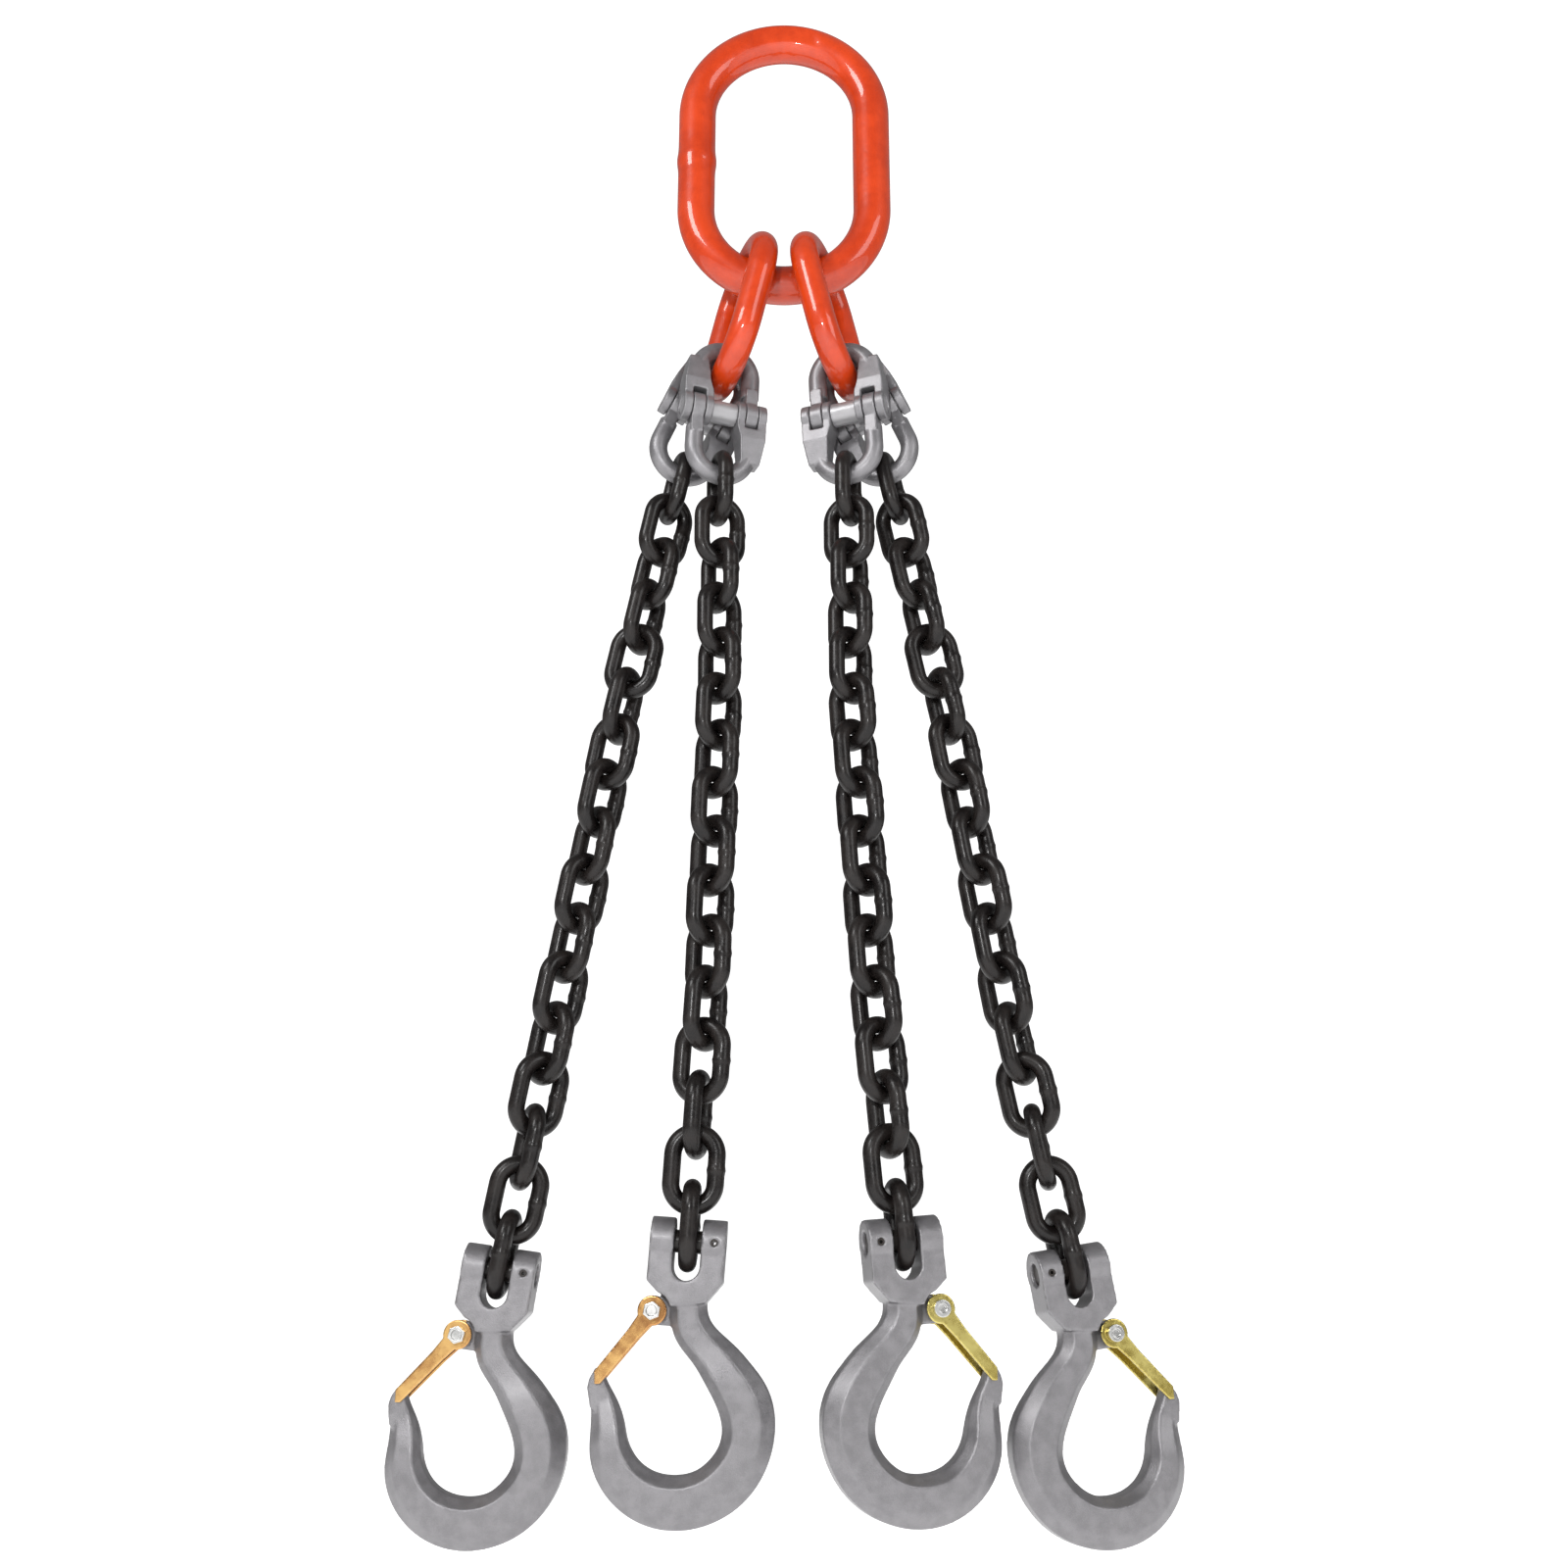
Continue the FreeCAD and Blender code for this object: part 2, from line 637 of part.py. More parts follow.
def latch_spring():
    """The torsion spring: a coil round the lug's stub and a leg pointing along -Z."""
    body = new_body("latch_spring_pattern")
    wire = size("spring_wire")
    coil = size("lug_stub_radius") + wire / 2 + size("side_gap")
    start = size("lug_thickness") / 2 + wire / 2 + size("side_gap") / 2
    section = sketch_on(body, "XY_Plane", "spring_section")
    add_circle(section, (-coil, -start), wire / 2)
    helix = body.newObject("PartDesign::AdditiveHelix", "spring_coils")
    helix.Profile = section
    helix.ReferenceAxis = (section, ["V_Axis"])
    helix.Mode = "pitch-turns-angle"
    helix.Pitch = read("spring_pitch")
    helix.setExpression("Pitch", size("spring_pitch").text)
    helix.Turns = 1
    helix.Reversed = True
    finish_feature(body, helix)
    leg = sketch_on(body, "XY_Plane", "spring_leg")
    add_circle(leg, (-coil, -start), wire / 2)
    pad(body, leg, size("spring_leg"), symmetric=False, backwards=True)
    return body


coupling_clear = size("half_bar_centre") - size("tongue_width") / 2 - size("fork_side_gap")
bush_length = (coupling_clear - size("prong_inner") - size("side_gap")) * 2
coupling_length = (size("half_bar_centre") * 2 + size("tongue_width")
                   + size("fork_side_gap") * 2 + size("prong_outer") * 2
                   - size("coupling_pin_recess") * 2)
PATTERNS = {
    "master_link": master_link(),
    "sub_link": oblong_link("sub_link_pattern", size("sub_wire"), size("sub_inner_width"),
                            size("sub_inner_length")),
    "coupling_half": coupling_half(),
    "coupling_pin": round_bar("coupling_pin_pattern", "YZ_Plane", size("coupling_pin_diameter"),
                              coupling_length),
    "coupling_bush": round_bar("coupling_bush_pattern", "YZ_Plane",
                               size("coupling_bush_diameter"), bush_length,
                               size("coupling_pin_diameter") + size("bush_fit") * 2),
    "chain_link": oblong_link("chain_link_pattern", size("chain_wire"),
                              size("chain_inner_width"), size("chain_inner_length")),
    "hook": hook(),
    "clevis_pin": clevis_pin(),
    "roll_pin": round_bar("roll_pin_pattern", "XZ_Plane", size("roll_pin_diameter"),
                          size("clevis_eye_diameter") - size("roll_pin_recess") * 2,
                          size("roll_pin_bore")),
    "latch": latch(),
    "latch_bolt": latch_bolt(),
    "latch_nut": latch_nut(),
    "latch_spring": latch_spring(),
}

# The sub-parts: the patterns placed where they hang.

nodes = []


def place_node(name, pattern, places):
    """A named sub-part made of one or more placed copies of a pattern."""
    copies = []
    for number, place in enumerate(places):
        copy = doc.addObject("App::Link", f"{name}_copy_{number + 1}")
        copy.LinkedObject = PATTERNS[pattern]
        copy.LinkTransform = False
        copy.Placement = place
        copies.append(copy)
    node = doc.addObject("Part::Compound", name)
    node.Label = name
    node.Links = copies
    node.Placement = Placement()
    nodes.append(node)


def turned(yaw, lean, tip=0):
    """The turn of a piece: yawed about Z, then tipped about X, then leaned about Y."""
    return (Rotation(Vector(0, 1, 0), lean) * Rotation(Vector(1, 0, 0), tip)
            * Rotation(Vector(0, 0, 1), yaw))


def in_bow(direction, turn, across):
    """The unit vector of a bow's own plane that lies nearest to a direction."""
    wide = turn.multVec(across)
    high = turn.multVec(Vector(0, 0, 1))
    flat = wide * direction.dot(wide) + high * direction.dot(high)
    return flat.normalize()


def twist_of(number, table):
    """The angle of one link's plane from the front: even along the chain between named links."""
    known = sorted(table)
    before = max([k for k in known if k <= number], default=known[0])
    after = min([k for k in known if k >= number], default=known[-1])
    share = 0 if after == before else (number - before) / (after - before)
    offset = table[before] + share * (table[after] - table[before])
    return offset + 90 * (number - 1)


gap = read("link_gap")
master_radius = read("master_inner_width") / 2
bow_centre = Vector(0, 0, master_radius - read("master_inner_length"))
master_bar = master_radius + read("master_wire") / 2
sub_seat = master_radius - read("sub_wire") / 2 - gap
slide = math.asin(read("sub_from_middle") / sub_seat)
sub_half = (read("sub_inner_length") + read("sub_wire")) / 2
sub_bow = (read("sub_inner_width") + read("sub_wire")) / 2
crown_seat = read("sub_inner_width") / 2 - read("half_bar") / 2 - gap
spreads = {-1: math.radians(read("front_spread_angle")),
           1: math.radians(read("rear_spread_angle"))}
chain_step = read("chain_inner_length") - gap
first_step = read("chain_inner_length") / 2 - read("half_bar") / 2 - gap
pin_step = read("chain_inner_length") / 2 - read("clevis_pin_diameter") / 2 - gap
half_wire = read("chain_wire") / 2
down = Vector(0, 0, -1)

place_node("master_link", "master_link",
           [Placement(Vector(0, 0, -read("master_inner_length") / 2), Rotation())])

sub_turns = {}
sub_bows = {}
sub_joints = {}
for side, hand in (("left", -1), ("right", 1)):
    turn = turned(-hand * read("sub_yaw"), -hand * read("sub_lean"))
    inwards = Vector(hand * math.sin(slide), 0, -math.cos(slide))
    top_bow = bow_centre + inwards * sub_seat + in_bow(inwards, turn, Vector(0, 1, 0)) * sub_bow
    middle = top_bow + turn.multVec(down) * (sub_half - sub_bow)
    # the pattern lies in the XZ plane, and a quarter turn stands it across the master link
    across = turn * Rotation(Vector(0, 0, 1), 90)
    place_node(f"sub_link_{side}", "sub_link", [Placement(middle, across)])
    sub_turns[hand] = turn
    sub_bows[hand] = middle + turn.multVec(down) * (sub_half - sub_bow)
    sub_joints[f"sub_link_{side}"] = {
        "place": bow_centre + inwards * master_bar,
        "axis": Vector(-math.cos(slide), 0, -hand * math.sin(slide)),
    }


def build_leg(leg):
    """One leg: coupling link, three runs of chain, clevis hook and latch."""
    name, hand, depth = leg["name"], leg["hand"], leg["depth"]
    coupling_lean, upper_lean, middle_lean, lower_lean, hook_lean = leg["leans"]
    coupling_tip, chain_tip, hook_tip = leg["tips"]
    sub_turn = sub_turns[hand]
    spread = spreads[depth]
    yaw = -hand * read("coupling_yaw")
    # the coupling hangs inside the lower bow of the sub-link
    seat = sub_turn.multVec(Vector(0, depth * math.sin(spread), -math.cos(spread)))
    half_turn = Rotation(Vector(0, 0, 1), 180 if hand > 0 else 0)
    turn = turned(yaw, -hand * coupling_lean, coupling_tip)
    bar_radius = read("half_bar_centre")
    top_bow = sub_bows[hand] + seat * crown_seat + in_bow(seat, turn, Vector(1, 0, 0)) * bar_radius
    pin_place = top_bow + turn.multVec(down) * (read("half_reach") - bar_radius)
    upper = turn * half_turn
    lower = upper * Rotation(Vector(0, 1, 0), 180)
    place_node(f"{name}_coupling_upper", "coupling_half", [Placement(pin_place, upper)])
    place_node(f"{name}_coupling_lower", "coupling_half", [Placement(pin_place, lower)])
    place_node(f"{name}_coupling_pin", "coupling_pin", [Placement(pin_place, upper)])
    place_node(f"{name}_coupling_bush", "coupling_bush", [Placement(pin_place, upper)])
    # the chain, link by link
    low_bow = pin_place + turn.multVec(down) * (read("half_reach") - bar_radius)
    hanging = in_bow(turned(0, -hand * upper_lean, chain_tip).multVec(down), turn, Vector(1, 0, 0))
    bow = low_bow + hanging * bar_radius
    sub_wire_centre = read("sub_inner_width") / 2 + read("sub_wire") / 2
    joints = {"sub_bow": sub_bows[hand] + seat * sub_wire_centre,
              "sub_axis": sub_turn.multVec(Vector(0, math.cos(spread), depth * math.sin(spread))),
              "pin": pin_place, "pin_axis": turn.multVec(Vector(1, 0, 0)),
              "upper": bow, "upper_axis": hanging.cross(turn.multVec(Vector(0, 1, 0)))}
    runs = {"upper": [], "middle": [], "lower": []}
    leans = {"upper": upper_lean, "middle": middle_lean, "lower": lower_lean}
    from_bow = first_step
    pivot = bow
    run = "upper"
    for number in range(1, leg["links"] + 1):
        if number - 1 in leg["breaks"]:  # a bend, at the link above
            run = "middle" if run == "upper" else "lower"
            joints[run] = pivot
            joints[f"{run}_axis"] = link_turn.multVec(Vector(1, 0, 0))
        lean = turned(0, -hand * leans[run], chain_tip)
        link_turn = lean * Rotation(Vector(0, 0, 1), -hand * twist_of(number, leg["twist"]))
        centre = pivot + lean.multVec(down) * from_bow
        runs[run].append(Placement(centre, link_turn))
        pivot = centre + lean.multVec(down) * (read("chain_inner_length") / 2 + half_wire)
        from_bow = read("chain_inner_length") / 2 - half_wire - gap
        eye = centre + lean.multVec(down) * pin_step
    for run_name, places in runs.items():
        place_node(f"{name}_chain_{run_name}", "chain_link", places)
    # the hook hangs by its load pin in the last link
    hook_turn = turned(leg["hook_yaw"], -hand * hook_lean, hook_tip) * half_turn
    hook_place = Placement(eye, hook_turn)
    place_node(f"{name}_hook", "hook", [hook_place])
    place_node(f"{name}_clevis_pin", "clevis_pin", [hook_place])
    roll_place = Placement(Vector(read("roll_pin_from_middle"), 0, 0), Rotation())
    place_node(f"{name}_roll_pin", "roll_pin", [hook_place * roll_place])
    pivot_local = Vector(-read("latch_pivot_side"), 0, -read("latch_pivot_drop"))
    closed = Rotation(Vector(0, 1, 0), 90 - read("latch_angle"))
    latch_place = hook_place * Placement(pivot_local, closed)
    place_node(f"{name}_latch", "latch", [latch_place])
    place_node(f"{name}_latch_bolt", "latch_bolt", [latch_place])
    place_node(f"{name}_latch_nut", "latch_nut", [latch_place])
    spring_turn = Rotation(Vector(0, 1, 0), -read("spring_leg_angle"))
    spring_place = hook_place * Placement(pivot_local, spring_turn)
    place_node(f"{name}_latch_spring", "latch_spring", [spring_place])
    joints["hook"] = eye
    joints["hook_axis"] = hook_turn.multVec(Vector(1, 0, 0))
    joints["latch"] = hook_place.multVec(pivot_local)
    joints["latch_axis"] = hook_turn.multVec(Vector(0, -1, 0))
    return joints


leg_joints = {leg["name"]: build_leg(leg) for leg in LEGS}

# Checks and files.

doc.recompute()
broken = [o.Label for o in doc.Objects if {"Invalid", "Error"} & set(o.State)]
if broken:
    raise RuntimeError(f"not rebuilt: {broken}")
for node in nodes:
    if node.Shape.isNull() or not node.Shape.isValid():
        raise RuntimeError(f"{node.Label} has no valid shape")
os.makedirs("parts", exist_ok=True)
for node in nodes:
    node.Shape.exportStep(f"parts/{node.Label}.step")
print(f"{len(nodes)} sub-parts written")
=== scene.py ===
import json
import math
import bpy
import numpy as np
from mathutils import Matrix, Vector


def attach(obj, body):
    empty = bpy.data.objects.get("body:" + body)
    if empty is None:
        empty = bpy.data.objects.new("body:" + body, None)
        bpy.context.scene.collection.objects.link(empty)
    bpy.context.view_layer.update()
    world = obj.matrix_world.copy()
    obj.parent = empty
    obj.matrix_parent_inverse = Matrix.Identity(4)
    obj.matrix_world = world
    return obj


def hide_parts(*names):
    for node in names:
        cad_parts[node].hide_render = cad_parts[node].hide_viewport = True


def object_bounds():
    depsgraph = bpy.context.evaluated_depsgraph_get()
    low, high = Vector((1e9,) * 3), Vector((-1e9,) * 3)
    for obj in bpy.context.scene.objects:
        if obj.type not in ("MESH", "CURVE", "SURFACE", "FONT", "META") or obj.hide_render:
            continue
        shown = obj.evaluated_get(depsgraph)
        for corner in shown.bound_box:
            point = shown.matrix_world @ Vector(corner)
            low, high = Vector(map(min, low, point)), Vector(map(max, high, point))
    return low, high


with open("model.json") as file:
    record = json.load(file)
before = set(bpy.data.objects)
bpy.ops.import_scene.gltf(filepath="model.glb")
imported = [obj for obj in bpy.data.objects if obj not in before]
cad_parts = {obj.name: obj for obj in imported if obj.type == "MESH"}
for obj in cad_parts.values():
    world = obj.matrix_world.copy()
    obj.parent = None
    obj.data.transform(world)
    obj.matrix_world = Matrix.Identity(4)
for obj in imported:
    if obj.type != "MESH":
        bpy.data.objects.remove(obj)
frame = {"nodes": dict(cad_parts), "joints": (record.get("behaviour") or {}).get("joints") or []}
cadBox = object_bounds()
nodes = frame["nodes"]
joints = {joint["name"]: joint for joint in frame["joints"]}
legNames = ["leg_1", "leg_2", "leg_3", "leg_4"]


def unitVector(v):
    return v / np.linalg.norm(v)


def jointPlace(name):
    return np.array(joints[name]["pos_m"])


def jointAxis(name):
    return unitVector(np.array(joints[name]["axis"]))


def makeMesh(name, points, faces, material):
    # points is an n by 3 array, and each face is a row or list of point numbers
    mesh = bpy.data.meshes.new(name)
    mesh.from_pydata(points.tolist(), [], [list(f) for f in faces])
    mesh.validate()
    mesh.polygons.foreach_set("use_smooth", [True] * len(mesh.polygons))
    mesh.materials.append(material)
    mesh.update()
    piece = bpy.data.objects.new(name, mesh)
    bpy.context.scene.collection.objects.link(piece)
    return piece


def gridFaces(rows, columns):
    # quads of a grid that closes on itself both ways
    row, column = np.meshgrid(np.arange(rows), np.arange(columns), indexing="ij")
    nextRow, nextColumn = (row + 1) % rows, (column + 1) % columns
    corners = [row * columns + column, row * columns + nextColumn,
               nextRow * columns + nextColumn, nextRow * columns + column]
    return np.stack([c.ravel() for c in corners], axis=1)


def newGroup(name, inputs, outputs):
    group = bpy.data.node_groups.new(name, "ShaderNodeTree")
    for label, kind, value in inputs:
        socket = group.interface.new_socket(name=label, in_out="INPUT", socket_type=kind)
        socket.default_value = value
    for label, kind in outputs:
        group.interface.new_socket(name=label, in_out="OUTPUT", socket_type=kind)
    return group, group.nodes.new("NodeGroupInput"), group.nodes.new("NodeGroupOutput")


def mathNode(tree, operation, a, b, clamp=False):
    node = tree.nodes.new("ShaderNodeMath")
    node.operation = operation
    node.use_clamp = clamp
    for socket, value in zip(node.inputs, (a, b)):
        if isinstance(value, (int, float)):
            socket.default_value = value
        else:
            tree.links.new(value, socket)
    return node.outputs[0]


def noiseNode(tree, vector, scale, detail):
    node = tree.nodes.new("ShaderNodeTexNoise")
    tree.links.new(vector, node.inputs["Vector"])
    tree.links.new(scale, node.inputs["Scale"])
    node.inputs["Detail"].default_value = detail
    node.inputs["Roughness"].default_value = noiseRoughness
    return node.outputs["Fac"]


def rampNode(tree, value, low, high):
    node = tree.nodes.new("ShaderNodeMapRange")
    node.interpolation_type = "SMOOTHSTEP"
    tree.links.new(value, node.inputs["Value"])
    node.inputs["From Min"].default_value = low
    node.inputs["From Max"].default_value = high
    return node.outputs["Result"]


def mixColour(tree, factor, first, second):
    node = tree.nodes.new("ShaderNodeMix")
    node.data_type = "RGBA"
    for number, value in ((0, factor), (6, first), (7, second)):
        socket = node.inputs[number]
        if isinstance(value, tuple):
            socket.default_value = (*value, 1.0)
        else:
            tree.links.new(value, socket)
    return node.outputs[2]


noiseRoughness = 0.55
wearLook = {"detail": 3.0, "breakupHeight": 0.08, "steepness": 22.0}


def edgeWearGroup():
    # wear is the surface's pointiness, shifted by a fine noise, above a threshold, made steep and
    # held between 0 and 1
    group, entry, exit = newGroup(
        "edgeWear",
        [("Vector", "NodeSocketVector", (0, 0, 0)), ("Threshold", "NodeSocketFloat", 0.53),
         ("Breakup", "NodeSocketFloat", 900.0)],
        [("Wear", "NodeSocketFloat")])
    geometry = group.nodes.new("ShaderNodeNewGeometry")
    speckle = noiseNode(group, entry.outputs["Vector"], entry.outputs["Breakup"], wearLook["detail"])
    offset = mathNode(group, "MULTIPLY", mathNode(group, "SUBTRACT", speckle, 0.5),
                      wearLook["breakupHeight"])
    lifted = mathNode(group, "ADD", geometry.outputs["Pointiness"], offset)
    above = mathNode(group, "SUBTRACT", lifted, entry.outputs["Threshold"])
    wear = mathNode(group, "MULTIPLY", above, wearLook["steepness"], clamp=True)
    group.links.new(wear, exit.inputs["Wear"])
    return group


# shares of the coarse and the fine noise in the colour's mottle and in the surface's height
mottleLook = {"colour": (0.65, 0.35), "height": (0.4, 0.6), "coarseDetail": 3.0, "fineDetail": 5.0,
              "low": 0.35, "high": 0.65}


def mottleGroup():
    # mottle and height are both a weighted sum of a coarse and a fine noise
    group, entry, exit = newGroup(
        "mottle",
        [("Vector", "NodeSocketVector", (0, 0, 0)), ("Coarse", "NodeSocketFloat", 60.0),
         ("Fine", "NodeSocketFloat", 600.0)],
        [("Mottle", "NodeSocketFloat"), ("Height", "NodeSocketFloat")])
    vector = entry.outputs["Vector"]
    coarse = noiseNode(group, vector, entry.outputs["Coarse"], mottleLook["coarseDetail"])
    fine = noiseNode(group, vector, entry.outputs["Fine"], mottleLook["fineDetail"])
    for label, shares in (("Mottle", mottleLook["colour"]), ("Height", mottleLook["height"])):
        both = mathNode(group, "ADD", mathNode(group, "MULTIPLY", coarse, shares[0]),
                        mathNode(group, "MULTIPLY", fine, shares[1]))
        group.links.new(both, exit.inputs[label])
    return group


edgeWear = edgeWearGroup()
mottle = mottleGroup()


def coatedMetal(name, look):
    # colour runs from the dark to the light shade by the mottle, eased at both ends, and wear
    # mixes in the bare shade on the edges; roughness runs with the same mottle, and its height
    # drives the bump
    material = bpy.data.materials.new(name)
    material.use_nodes = True
    tree = material.node_tree
    shader = tree.nodes["Principled BSDF"]
    place = tree.nodes.new("ShaderNodeTexCoord").outputs["Object"]
    patches = tree.nodes.new("ShaderNodeGroup")
    patches.node_tree = mottle
    patches.inputs["Coarse"].default_value = look["coarse"]
    patches.inputs["Fine"].default_value = look["fine"]
    tree.links.new(place, patches.inputs["Vector"])
    worn = tree.nodes.new("ShaderNodeGroup")
    worn.node_tree = edgeWear
    worn.inputs["Threshold"].default_value = look["wearFrom"]
    worn.inputs["Breakup"].default_value = look["wearGrain"]
    tree.links.new(place, worn.inputs["Vector"])
    spread = rampNode(tree, patches.outputs["Mottle"], mottleLook["low"], mottleLook["high"])
    wear = mathNode(tree, "MULTIPLY", worn.outputs["Wear"], look["wearAmount"])
    colour = mixColour(tree, spread, look["dark"], look["light"])
    colour = mixColour(tree, wear, colour, look["bare"])
    tree.links.new(colour, shader.inputs["Base Color"])
    low, high = look["roughness"]
    rough = mathNode(tree, "ADD", mathNode(tree, "MULTIPLY", spread, high - low), low)
    tree.links.new(rough, shader.inputs["Roughness"])
    shader.inputs["Metallic"].default_value = look["metallic"]
    shader.inputs["Specular IOR Level"].default_value = look["specular"]
    shader.inputs["Coat Weight"].default_value = look["coat"]
    shader.inputs["Coat Roughness"].default_value = look["coatRoughness"]
    bump = tree.nodes.new("ShaderNodeBump")
    bump.inputs["Strength"].default_value = look["bump"]
    bump.inputs["Distance"].default_value = look["bumpDepth"]
    tree.links.new(patches.outputs["Height"], bump.inputs["Height"])
    tree.links.new(bump.outputs["Normal"], shader.inputs["Normal"])
    return material


orangeLook = {
    "dark": (0.42, 0.028, 0.001), "light": (0.53, 0.040, 0.002), "bare": (0.78, 0.11, 0.02),
    "coarse": 28.0, "fine": 160.0, "wearFrom": 0.56, "wearGrain": 500.0, "wearAmount": 0.3,
    "roughness": (0.32, 0.42), "metallic": 0.0, "specular": 0.25, "coat": 0.7, "coatRoughness": 0.05,
    "bump": 0.3, "bumpDepth": 0.0016,
}
silverLook = {
    "dark": (0.178, 0.173, 0.181), "light": (0.226, 0.220, 0.229), "bare": (0.48, 0.475, 0.485),
    "coarse": 130.0, "fine": 1700.0, "wearFrom": 0.535, "wearGrain": 900.0, "wearAmount": 0.45,
    "roughness": (0.34, 0.44), "metallic": 0.55, "specular": 0.5, "coat": 0.15, "coatRoughness": 0.22,
    "bump": 0.45, "bumpDepth": 0.0005,
}
lacquerLook = {
    "dark": (0.004, 0.003, 0.003), "light": (0.013, 0.010, 0.009), "bare": (0.05, 0.042, 0.038),
    "coarse": 90.0, "fine": 700.0, "wearFrom": 0.57, "wearGrain": 900.0, "wearAmount": 0.5,
    "roughness": (0.28, 0.42), "metallic": 0.0, "specular": 0.25, "coat": 0.12, "coatRoughness": 0.14,
    "bump": 0.35, "bumpDepth": 0.0006,
}
goldLook = {
    "dark": (0.44, 0.34, 0.08), "light": (0.58, 0.50, 0.17), "bare": (0.74, 0.70, 0.5),
    "coarse": 45.0, "fine": 250.0, "wearFrom": 0.55, "wearGrain": 900.0, "wearAmount": 0.08,
    "roughness": (0.2, 0.32), "metallic": 0.95, "specular": 0.5, "coat": 0.2, "coatRoughness": 0.15,
    "bump": 0.04, "bumpDepth": 0.0002,
}
copperLook = dict(goldLook, dark=(0.42, 0.20, 0.07), light=(0.58, 0.36, 0.13), bare=(0.76, 0.58, 0.4))
zincLook = {
    "dark": (0.50, 0.50, 0.49), "light": (0.57, 0.57, 0.56), "bare": (0.7, 0.7, 0.69),
    "coarse": 120.0, "fine": 500.0, "wearFrom": 0.54, "wearGrain": 1500.0, "wearAmount": 0.1,
    "roughness": (0.22, 0.34), "metallic": 0.95, "specular": 0.5, "coat": 0.0, "coatRoughness": 0.1,
    "bump": 0.1, "bumpDepth": 0.0002,
}
orangePaint = coatedMetal("orangePaint", orangeLook)
silverPaint = coatedMetal("silverPaint", silverLook)
blackLacquer = coatedMetal("blackLacquer", lacquerLook)
goldZinc = coatedMetal("goldZinc", goldLook)
copperZinc = coatedMetal("copperZinc", copperLook)
brightZinc = coatedMetal("brightZinc", zincLook)
print("finishes made")


masterLook = {"wire": 0.0255, "innerWidth": 0.095, "innerLength": 0.170, "rings": 320, "around": 56,
              "weld": 0.0009, "weldLength": 0.012, "flatDepth": 0.0016, "flatLength": 0.040,
              "flatEase": 0.006}
subLook = {"wire": 0.019, "innerWidth": 0.052, "innerLength": 0.0835, "rings": 240, "around": 48,
           "weld": 0.0, "weldLength": 0.010, "flatDepth": 0.0}
chainLook = {"wire": 0.010, "innerWidth": 0.015, "innerLength": 0.031, "rings": 84, "around": 24,
             "weld": 0.0005, "weldLength": 0.0035, "flatDepth": 0.0}


def oblongLink(look):
    # a circle of the wire's radius carried along an oblong of two straights and two half circles,
    # from the foot of the right straight over the top; the radius swells by a bell curve at the
    # weld, half way down the left straight
    wire, rings, around = look["wire"], look["rings"], look["around"]
    bend = (look["innerWidth"] + wire) / 2
    straight = look["innerLength"] - look["innerWidth"]
    total = 2 * straight + 2 * math.pi * bend
    s = np.arange(rings) / rings * total
    onRight = s < straight
    onTop = (s >= straight) & (s < straight + math.pi * bend)
    onLeft = (s >= straight + math.pi * bend) & (s < 2 * straight + math.pi * bend)
    topAngle = (s - straight) / bend
    lowAngle = math.pi + (s - 2 * straight - math.pi * bend) / bend
    angle = np.where(onRight, 0.0, np.where(onTop, topAngle, np.where(onLeft, math.pi, lowAngle)))
    centreZ = np.where(onRight, s - straight / 2, np.where(onTop, straight / 2, np.where(
        onLeft, straight / 2 - (s - straight - math.pi * bend), -straight / 2)))
    outX, outZ = np.cos(angle), np.sin(angle)
    weldAt = 1.5 * straight + math.pi * bend
    bell = np.exp(-((s - weldAt) / (look["weldLength"] / 2)) ** 2)
    turn = np.arange(around) / around * 2 * math.pi
    radius = (wire / 2 + look["weld"] * bell)[:, None] * np.ones(around)[None, :]
    radial = radius * np.cos(turn)[None, :]
    y = radius * np.sin(turn)[None, :]
    x = outX[:, None] * (bend + radial)
    z = centreZ[:, None] + outZ[:, None] * (bend + radial)
    if look["flatDepth"] > 0:  # the top bow pressed flat front and back
        limit, ease = wire / 2 - look["flatDepth"], look["flatEase"]
        near = np.clip((look["flatLength"] / 2 + ease - np.abs(x)) / ease, 0, 1) * (z > 0)
        share = near * near * (3 - 2 * near)
        y = y * (1 - share) + np.clip(y, -limit, limit) * share
    points = np.stack([x, y, z], axis=2).reshape(-1, 3)
    return points, gridFaces(rings, around)[:, ::-1]


def placed(points, centre, xAxis, yAxis, zAxis):
    # points moved from a piece's own frame to where it hangs
    return centre + points[:, :1] * xAxis + points[:, 1:2] * yAxis + points[:, 2:3] * zAxis


def linkPiece(name, look, places, material, body):
    # one mesh of a link at each place, riding on the body of the same name as its node
    points, faces = oblongLink(look)
    allPoints = np.concatenate([placed(points, *place) for place in places])
    allFaces = np.concatenate([faces + number * len(points) for number in range(len(places))])
    piece = makeMesh(name, allPoints, allFaces, material)
    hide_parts(body)
    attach(piece, body)
    return piece


def nodePoints(name):
    mesh = nodes[name].data
    points = np.empty(len(mesh.vertices) * 3, np.float32)
    mesh.vertices.foreach_get("co", points)
    return points.reshape(-1, 3).astype(float)


def flatFrame(name):
    # centre and directions of a single link: its points spread least through the thickness and
    # most along the length; the length points up and the thickness to the back
    points = nodePoints(name)
    directions = np.linalg.eigh(np.cov((points - points.mean(axis=0)).T))[1]
    thin, length = directions[:, 0], directions[:, 2]
    length = length * (1 if length[2] > 0 else -1)
    thin = thin * (1 if thin[1] > 0 else -1)
    width = np.cross(thin, length)
    axes = np.stack([width, thin, length])
    along = points @ axes.T
    centre = ((along.max(axis=0) + along.min(axis=0)) / 2) @ axes
    return centre, width, thin, length


